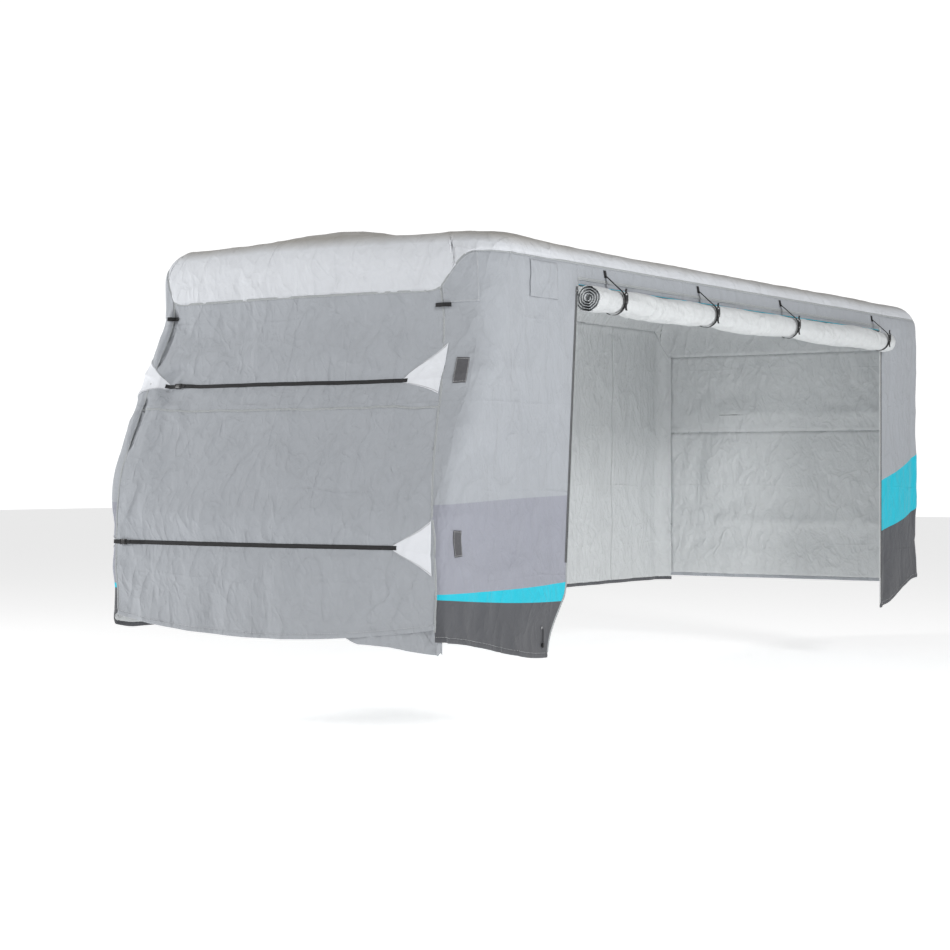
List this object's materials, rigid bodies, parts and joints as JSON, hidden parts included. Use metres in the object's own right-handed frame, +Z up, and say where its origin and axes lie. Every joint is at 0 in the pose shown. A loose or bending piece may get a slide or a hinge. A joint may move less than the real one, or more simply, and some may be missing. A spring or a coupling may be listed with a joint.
{
  "type": "caravan storage cover",
  "caption": "Fitted fabric caravan cover with a rolled-up side access panel, corner gussets and tension straps with buckles.",
  "frame": {"origin": "on the underside of the roof panel at its middle, where the cover rests on the vehicle's roof", "axes": "+X to the door side, -Y to the nose and +Y to the tail, +Z up; the ground is at z = -3.086 m"},
  "size_m": [2.7183, 7.5413, 2.636],
  "materials": {
    "roof": "matte",
    "wall": "matte",
    "lining": "matte",
    "gusset": "matte",
    "webbing": "matte",
    "zip_tape": "matte",
    "buckle": "satin",
    "zip_metal": "satin",
    "patch": "matte"
  },
  "bodies": {
    "shell": {"roof_panel": "roof", "nose_panel_lower": "wall", "nose_panel_upper": "wall", "tail_panel_lower": "wall", "tail_panel_upper": "wall", "door_side_front_panel": "wall", "door_side_rear_panel": "wall", "doorway_header": "wall", "off_side_front_panel": "wall", "off_side_middle_panel": "wall", "off_side_rear_panel": "wall", "corner_reinforcement_door": "wall", "corner_reinforcement_off": "wall", "access_panel_cloth": "lining", "nose_gusset_upper_off": "gusset", "nose_gusset_upper_door": "gusset", "nose_gusset_lower_off": "gusset", "nose_gusset_lower_door": "gusset", "tail_gusset_upper_off": "gusset", "tail_gusset_upper_door": "gusset", "tail_gusset_lower_off": "gusset", "tail_gusset_lower_door": "gusset", "nose_strap_upper": "webbing", "nose_strap_lower": "webbing", "tail_strap_upper": "webbing", "tail_strap_lower": "webbing", "roll_tie_1": "webbing", "roll_tie_2": "webbing", "roll_tie_3": "webbing", "roll_tie_4": "webbing", "hem_cord": "webbing", "zip_tape_front": "zip_tape", "zip_tape_rear": "zip_tape", "nose_strap_socket_upper": "buckle", "nose_strap_socket_lower": "buckle", "tail_strap_socket_upper": "buckle", "tail_strap_socket_lower": "buckle", "stow_patch_upper": "patch", "stow_patch_lower": "patch"},
    "access_panel": {"access_panel_roll": "lining"},
    "tie_socket_1": {"roll_tie_socket_1": "buckle"},
    "tie_plug_1": {"roll_tie_plug_1": "buckle"},
    "tie_socket_2": {"roll_tie_socket_2": "buckle"},
    "tie_plug_2": {"roll_tie_plug_2": "buckle"},
    "tie_socket_3": {"roll_tie_socket_3": "buckle"},
    "tie_plug_3": {"roll_tie_plug_3": "buckle"},
    "tie_socket_4": {"roll_tie_socket_4": "buckle"},
    "tie_plug_4": {"roll_tie_plug_4": "buckle"},
    "nose_plug_upper": {"nose_strap_plug_upper": "buckle"},
    "nose_plug_lower": {"nose_strap_plug_lower": "buckle"},
    "tail_plug_upper": {"tail_strap_plug_upper": "buckle"},
    "tail_plug_lower": {"tail_strap_plug_lower": "buckle"},
    "zip_front": {"zip_slider_front": "zip_metal"},
    "pull_front": {"zip_pull_front": "zip_metal"},
    "zip_rear": {"zip_slider_rear": "zip_metal"},
    "pull_rear": {"zip_pull_rear": "zip_metal"},
    "cord_lock": {"hem_cord_lock": "buckle"},
    "cord_button": {"hem_cord_lock_button": "buckle"},
    "vent_door": {"vent_flap_door_side": "wall"},
    "vent_off": {"vent_flap_off_side": "wall"}
  },
  "joints": [
    {"name": "access_panel_unroll", "type": "slide", "parent": "shell", "child": "access_panel", "axis": [0, 0, -1], "range_m": [0, 2.108], "deforming": ["access_panel_cloth", "roll_tie_1", "roll_tie_2", "roll_tie_3", "roll_tie_4"]},
    {"name": "tie_1_fall_back", "type": "slide", "parent": "shell", "child": "tie_socket_1", "axis": [-1, 0, 0], "range_m": [0, 0.127]},
    {"name": "tie_1_release", "type": "slide", "parent": "tie_socket_1", "child": "tie_plug_1", "axis": [0, 0, -1], "range_m": [0, 0.03]},
    {"name": "tie_2_fall_back", "type": "slide", "parent": "shell", "child": "tie_socket_2", "axis": [-1, 0, 0], "range_m": [0, 0.127]},
    {"name": "tie_2_release", "type": "slide", "parent": "tie_socket_2", "child": "tie_plug_2", "axis": [0, 0, -1], "range_m": [0, 0.03]},
    {"name": "tie_3_fall_back", "type": "slide", "parent": "shell", "child": "tie_socket_3", "axis": [-1, 0, 0], "range_m": [0, 0.127]},
    {"name": "tie_3_release", "type": "slide", "parent": "tie_socket_3", "child": "tie_plug_3", "axis": [0, 0, -1], "range_m": [0, 0.03]},
    {"name": "tie_4_fall_back", "type": "slide", "parent": "shell", "child": "tie_socket_4", "axis": [-1, 0, 0], "range_m": [0, 0.127]},
    {"name": "tie_4_release", "type": "slide", "parent": "tie_socket_4", "child": "tie_plug_4", "axis": [0, 0, -1], "range_m": [0, 0.03]},
    {"name": "nose_strap_release_upper", "type": "slide", "parent": "shell", "child": "nose_plug_upper", "axis": [0.9934, -0.1147, 0], "range_m": [0, 0.03], "deforming": ["nose_strap_upper"]},
    {"name": "nose_strap_release_lower", "type": "slide", "parent": "shell", "child": "nose_plug_lower", "axis": [0.9923, -0.1239, 0], "range_m": [0, 0.03], "deforming": ["nose_strap_lower"]},
    {"name": "tail_strap_release_upper", "type": "slide", "parent": "shell", "child": "tail_plug_upper", "axis": [1, 0, 0], "range_m": [0, 0.03], "deforming": ["tail_strap_upper"]},
    {"name": "tail_strap_release_lower", "type": "slide", "parent": "shell", "child": "tail_plug_lower", "axis": [1, 0, 0], "range_m": [0, 0.03], "deforming": ["tail_strap_lower"]},
    {"name": "zip_front_close", "type": "slide", "parent": "shell", "child": "zip_front", "axis": [0, -0.0797, -0.9968], "range_m": [0, 1.689]},
    {"name": "pull_front_swing", "type": "hinge", "parent": "zip_front", "child": "pull_front", "pos_m": [1.286, -2.21708, -0.3655], "axis": [0, -1, 0], "range_deg": [0, 160]},
    {"name": "zip_rear_close", "type": "slide", "parent": "shell", "child": "zip_rear", "axis": [0, 0, -1], "range_m": [0, 1.994]},
    {"name": "pull_rear_swing", "type": "hinge", "parent": "zip_rear", "child": "pull_rear", "pos_m": [1.286, 2.82, -0.3655], "axis": [0, -1, 0], "range_deg": [0, 160]},
    {"name": "cord_lock_slide", "type": "slide", "parent": "shell", "child": "cord_lock", "axis": [0, 0, 1], "range_m": [0, 0.06], "deforming": ["hem_cord"]},
    {"name": "cord_lock_press", "type": "slide", "parent": "cord_lock", "child": "cord_button", "axis": [0, 0, 1], "range_m": [0, 0.005], "stiffness_N_per_m": 400, "springref_m": -0.002},
    {"name": "vent_door_lift", "type": "hinge", "parent": "shell", "child": "vent_door", "pos_m": [1.278, -2.61, -0.221], "axis": [0, -1, 0], "range_deg": [0, 60]},
    {"name": "vent_off_lift", "type": "hinge", "parent": "shell", "child": "vent_off", "pos_m": [-1.278, -2.61, -0.221], "axis": [0, 1, 0], "range_deg": [0, 60]}
  ],
  "couplings": [
    {"joint": "tie_1_fall_back", "follows": "access_panel_unroll", "ratio": 0.06},
    {"joint": "tie_2_fall_back", "follows": "access_panel_unroll", "ratio": 0.06},
    {"joint": "tie_3_fall_back", "follows": "access_panel_unroll", "ratio": 0.06},
    {"joint": "tie_4_fall_back", "follows": "access_panel_unroll", "ratio": 0.06}
  ]
}
